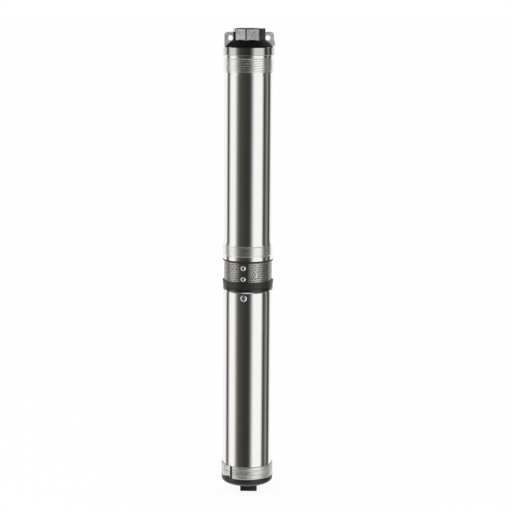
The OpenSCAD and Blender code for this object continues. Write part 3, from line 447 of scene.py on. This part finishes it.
def tubeRadius(z, turn):
    # outer radius of the rolled tube at a height, a fraction of a turn round
    tube = rolledTube
    for first, last, pitch in tube["threads"]:
        if last - tube["slack"] <= z <= first + tube["slack"]:
            phase = (((first - z) / pitch + turn) % 1 - 0.5) * (pitch - tube["flat"])
            crest = tube["crestR"] - tube["round"] + math.sqrt(tube["round"] ** 2 - phase ** 2)
            run = tube["fadeTurns"] * pitch
            fade = easeStep(first, first - run, z) * easeStep(last, last + run, z)
            return tube["lipR"] + (crest - tube["lipR"]) * fade
    (topFirst, topLast, _), (lowFirst, lowLast, _) = tube["threads"]
    if z > topFirst or z < lowLast:
        return tube["lipR"]
    swell = 1 - easeStep(topLast, topLast - tube["neck"], z)
    swell = max(swell, 1 - easeStep(lowFirst, lowFirst + tube["neck"], z))
    return tube["tubeR"] + (tube["lipR"] - tube["tubeR"]) * swell


def rollTube():
    tube = rolledTube
    heights = [tube["top"]]
    (_, topLast, _), (lowFirst, _, _) = tube["threads"]
    topNeck, lowNeck = topLast - tube["neck"], lowFirst + tube["neck"]
    for high, low, step in ((tube["top"], topLast, tube["threadStep"]), (topLast, topNeck, tube["neckStep"]),
                            (topNeck, lowNeck, tube["plainStep"]), (lowNeck, lowFirst, tube["neckStep"]),
                            (lowFirst, tube["bottom"], tube["threadStep"])):
        count = max(1, round((high - low) / step))
        heights += [high + (low - high) * (i + 1) / count for i in range(count)]
    n, cut = tube["segments"], tube["chamfer"]
    outer = [[(tubeRadius(z, j / n), z) for j in range(n)] for z in heights]
    outer[0] = [(r - cut, z) for r, z in outer[0]]
    outer.insert(1, [(r + cut, z - cut) for r, z in outer[0]])
    (high, low), end, bore = tube["boreSteps"], tube["endBoreR"], tube["boreR"]
    inner = [(end, tube["bottom"]), (end, low), (bore, low + tube["boreNeck"]),
             (bore, high - tube["boreNeck"]), (end, high), (end, tube["top"])]
    rows = outer + [[point] * n for point in inner]
    verts = [onCircle(r, 2 * math.pi * j / n, z) for row in rows for j, (r, z) in enumerate(row)]
    faces = []
    for i in range(len(rows)):
        k = (i + 1) % len(rows)
        for j in range(n):
            m = (j + 1) % n
            faces.append((i * n + j, k * n + j, k * n + m, i * n + m))
    return meshFrom("rolled_pump_tube", verts, faces)


pumpTube = makePiece("rolled_pump_tube", rollTube(), finishes["polished_steel"], "pump_body")
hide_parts("pump_tube")
print("pump tube rolled")


# strainer sheet with its punched holes in staggered rows, a plain seam and the cable's notch at the back
strainer = {"radius": 44.85, "thick": 0.5, "top": -435.05, "bottom": -476.0, "firstRow": -436.4, "rows": 8,
            "rowMm": 4.2, "holeMm": 2.7, "columns": 53, "seamHalf": 12.5, "seamStrips": 10, "notchHalf": 12.1,
            "notchTop": -447.2, "turn": -23}


def punchSheet():
    s = strainer
    pitch = (360 - 2 * s["seamHalf"]) / s["columns"]  # degrees
    mesh = bpy.data.meshes.new("perforated_strainer")
    sheet = bmesh.new()
    made = {}

    def corner(turn, z):
        # a point of the sheet, made once, at an angle from the seam's middle and a height
        key = (round(turn % 360, 3), round(z, 3))
        if key not in made:
            made[key] = sheet.verts.new(onCircle(s["radius"], math.radians(turn + s["turn"] - 90), z))
        return made[key]

    def strip(turns, high, low):
        for left, right in zip(turns, turns[1:]):
            middle = (left + right) / 2
            if abs(middle - 180) > s["notchHalf"] or low > s["notchTop"] - 0.5 * s["rowMm"]:
                sheet.faces.new((corner(left, high), corner(left, low), corner(right, low),
                                 corner(right, high)))

    def punched(left, high, low):
        # one cell of the pattern: a ring of faces around its hole
        middle, centre = left + 0.5 * pitch, (high + low) / 2
        if abs(middle - 180) <= s["notchHalf"] and low < s["notchTop"]:
            return
        steps = [left + pitch * k / 4 for k in range(5)]
        rim = ([(t, high) for t in steps] + [(steps[4], centre)] + [(t, low) for t in reversed(steps)]
               + [(steps[0], centre)])
        perMm = math.degrees(1 / s["radius"])
        hole = []
        for t, z in rim:
            away = math.atan2(z - centre, (t - middle) / perMm)
            hole.append(corner(middle + 0.5 * s["holeMm"] * math.cos(away) * perMm,
                               centre + 0.5 * s["holeMm"] * math.sin(away)))
        outer = [corner(t, z) for t, z in rim]
        for k in range(len(rim)):
            n = (k + 1) % len(rim)
            sheet.faces.new((outer[k], hole[k], hole[n], outer[n]))

    start, end = s["seamHalf"], 360 - s["seamHalf"]
    quarters = [start + pitch * k / 4 for k in range(4 * s["columns"] + 1)]
    seam = [end + (360 - end + start) * k / s["seamStrips"] for k in range(s["seamStrips"] + 1)]
    lastRow = s["firstRow"] - s["rows"] * s["rowMm"]
    for high, low in ((s["top"], s["firstRow"]), (lastRow, s["bottom"])):
        strip(quarters, high, low)
        strip(seam, high, low)
    for row in range(s["rows"]):
        high = s["firstRow"] - row * s["rowMm"]
        low = high - s["rowMm"]
        strip(seam, high, low)
        shift = row % 2 * 0.5 * pitch
        for column in range(s["columns"] - row % 2):
            punched(start + shift + column * pitch, high, low)
        if row % 2:
            strip(quarters[:3], high, low)
            strip(quarters[-3:], high, low)
    bmesh.ops.recalc_face_normals(sheet, faces=sheet.faces)
    bmesh.ops.solidify(sheet, geom=sheet.faces[:], thickness=s["thick"] * mm)
    sheet.to_mesh(mesh)
    sheet.free()
    return mesh


strainerSheet = makePiece("perforated_strainer", punchSheet(), finishes["sheet_steel"], "pump_body")
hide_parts("intake_strainer")
print("strainer punched")


# bottom ring: a turned band, split at the pump's left, with one end cut to a taper over the cap's black key
splitRing = {"boreR": 46.65, "bodyR": 48.75, "lipR": 49.2, "top": -825.7, "bottom": -850.0, "chamfer": 0.4,
             "grooves": 6, "grooveFirst": -830.7, "grooveMm": 2.45, "grooveDeep": 0.35, "grooveHalf": 0.5,
             "taperTop": -834.0, "taperMm": 5.5,
             # the lip: inwards from its radius, and above the bottom
             "lipFoot": 3.5, "lip": [(0, 3.1), (0, 2.7), (0.24, 1.8), (0.62, 1), (1.15, 0.4), (1.65, 0)],
             # degrees to the right of the front
             "gap": (-53.4, -46.6), "taperStart": -84.0, "stepDeg": 2.0,
             # the key: room above its slope, height over the ring's foot, and its steps in degrees
             "keyR": 48.2, "keyTop": -827.0, "keyRoom": 0.25, "keyFoot": 0.05,
             "keyStart": 4, "slopeEnd": -0.01, "wallFoot": 0.15, "wallTop": 0.2, "keyEnd": 0.3}


def ringLift(turn):
    # how far the tapered end is cut away at an angle
    ring = splitRing
    share = (turn - ring["taperStart"]) / (ring["gap"][0] - ring["taperStart"])
    return ring["taperMm"] * share if 0 <= share <= 1 else 0.0


def ringProfile(lift):
    # outline of the band from its bore over its grooves and its rounded lip, radius and height
    ring = splitRing
    body, low, half = ring["bodyR"], ring["bottom"], ring["grooveHalf"]
    points = [(ring["boreR"], ring["top"]), (body - ring["chamfer"], ring["top"]),
              (body, ring["top"] - ring["chamfer"])]
    for i in range(ring["grooves"]):
        z = ring["grooveFirst"] - i * ring["grooveMm"]
        points += [(body, z), (body - ring["grooveDeep"], z - half), (body, z - 2 * half)]
    points.append((body, low + ring["lipFoot"]))
    points += [(ring["lipR"] - inwards, low + up) for inwards, up in ring["lip"]]
    points.append((ring["boreR"], low))
    start = ring["taperTop"]
    squash = 1 - lift / (start - low)
    return [(r, z if z > start else start + (z - start) * squash) for r, z in points]


def sweep(name, columns):
    # closed band through outlines that stand at angles from the front
    verts, faces, n = [], [], len(columns[0][1])
    for turn, outline in columns:
        verts += [onCircle(r, math.radians(turn - 90), z) for r, z in outline]
    for i in range(len(columns) - 1):
        for j in range(n):
            k = (j + 1) % n
            faces.append((i * n + j, i * n + k, i * n + n + k, i * n + n + j))
    faces += [tuple(reversed(range(n))), tuple(range(len(verts) - n, len(verts)))]
    return meshFrom(name, verts, faces, turnOut=True)


def spread(first, last):
    count = max(1, round((last - first) / splitRing["stepDeg"]))
    return [first + (last - first) * i / count for i in range(count + 1)]


gapStart, gapEnd = splitRing["gap"]
bandTurns = spread(gapEnd, gapStart + 360)
bandMesh = sweep("split_bottom_ring", [(t, ringProfile(ringLift(t - 360))) for t in bandTurns])
bottomRing = makePiece("split_bottom_ring", bandMesh, finishes["turned_steel"], "pump_body")
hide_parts("bottom_ring")
keyIn, keyOut, keyLow = splitRing["boreR"], splitRing["keyR"], splitRing["bottom"] + splitRing["keyFoot"]
keyTops = [(t, splitRing["bottom"] + ringLift(t) - splitRing["keyRoom"])
           for t in spread(splitRing["taperStart"] + splitRing["keyStart"], gapStart + splitRing["slopeEnd"])]
keyTops.append((gapStart + splitRing["wallFoot"], keyTops[-1][1]))
keyTops += [(t, splitRing["keyTop"])
            for t in spread(gapStart + splitRing["wallTop"], gapEnd - splitRing["keyEnd"])]
keyMesh = sweep("cap_key", [(t, [(keyIn, z), (keyOut, z), (keyOut, keyLow), (keyIn, keyLow)])
                            for t, z in keyTops])
makePiece("cap_key", keyMesh, finishes["black_moulding"], "pump_body")
print("bottom ring split")


# drain plug: a square moulded head with rounded edges, a little off the pump's axis
squarePlug = {"flats": 31.9, "top": -867.35, "bottom": -880.7, "offset": 3.1, "turn": -12, "round": 1.6,
              "roundSteps": 4}


def mouldPlug():
    p = squarePlug
    block = bmesh.new()
    bmesh.ops.create_cube(block, size=1.0)
    bmesh.ops.scale(block, vec=(p["flats"] * mm, p["flats"] * mm, (p["top"] - p["bottom"]) * mm),
                    verts=block.verts)
    bmesh.ops.bevel(block, geom=block.edges[:], offset=p["round"] * mm, segments=p["roundSteps"], profile=0.5,
                    affect="EDGES")
    bmesh.ops.rotate(block, cent=(0, 0, 0), matrix=Matrix.Rotation(math.radians(p["turn"]), 3, "Z"),
                     verts=block.verts)
    bmesh.ops.translate(block, vec=(p["offset"] * mm, 0, (p["top"] + p["bottom"]) / 2 * mm),
                        verts=block.verts)
    mesh = bpy.data.meshes.new("square_drain_plug")
    block.to_mesh(mesh)
    block.free()
    return mesh


drainPlug = makePiece("square_drain_plug", mouldPlug(), finishes["black_moulding"], "pump_body")
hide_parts("drain_plug")
print("drain plug moulded")


# valve spring: a wound coil under the guide
valveCoil = {"coilR": 9.0, "wireR": 0.55, "turns": 4.5, "steps": 216, "sides": 12, "liftMm": 8.0}
springLow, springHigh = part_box("valve_spring")


def windCoil():
    c = valveCoil
    low, high = springLow[2] + c["wireR"] * mm, springHigh[2] - c["wireR"] * mm
    verts, faces, n = [], [], c["sides"]
    for i in range(c["steps"] + 1):
        a = 2 * math.pi * c["turns"] * i / c["steps"]
        for j in range(n):
            b = 2 * math.pi * j / n
            r = (c["coilR"] + c["wireR"] * math.cos(b)) * mm
            z = low + (high - low) * i / c["steps"] + c["wireR"] * mm * math.sin(b)
            verts.append((r * math.cos(a), r * math.sin(a), z))
    for i in range(c["steps"]):
        for j in range(n):
            k = (j + 1) % n
            faces.append((i * n + j, i * n + n + j, i * n + n + k, i * n + k))
    faces += [tuple(range(n)), tuple(reversed(range(c["steps"] * n, c["steps"] * n + n)))]
    return meshFrom("valve_coil", verts, faces)


springCoil = makePiece("valve_coil", windCoil(), finishes["spring_steel"], "pump_body")
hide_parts("valve_spring")
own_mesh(springCoil)
print("valve spring wound")


# pipe thread in the outlet: a ridge that winds down the bore
outletThread = {"boreR": 19.5, "crest": 0.85, "pitch": 2.309, "first": -1.6, "last": -22.5, "steps": 72,
                # the root's depth in the wall, half widths of root and crest in pitches, steps of fading
                "sunk": 0.1, "rootHalf": 0.45, "crestHalf": 0.063, "fadeSteps": 30}


def cutThread():
    t = outletThread
    turns = (t["first"] - t["last"]) / t["pitch"]
    count = int(turns * t["steps"])
    verts, faces = [], []
    for i in range(count + 1):
        a = 2 * math.pi * i / t["steps"]
        z = t["first"] - t["pitch"] * i / t["steps"]
        fade = easeStep(0, t["fadeSteps"], i) * easeStep(count, count - t["fadeSteps"], i)
        root, crest = t["boreR"] + t["sunk"], t["boreR"] - t["crest"] * fade
        for r, off in ((root, t["rootHalf"]), (crest, t["crestHalf"]), (crest, -t["crestHalf"]),
                       (root, -t["rootHalf"])):
            verts.append(onCircle(r, -a, z + off * t["pitch"]))
    for i in range(count):
        for j in range(4):
            k = (j + 1) % 4
            faces.append((i * 4 + j, i * 4 + k, i * 4 + 4 + k, i * 4 + 4 + j))
    faces += [(3, 2, 1, 0), tuple(count * 4 + j for j in range(4))]
    return meshFrom("outlet_thread", verts, faces, turnOut=True)


makePiece("outlet_thread", cutThread(), finishes["turned_steel"], "pump_body")
print("outlet thread cut")
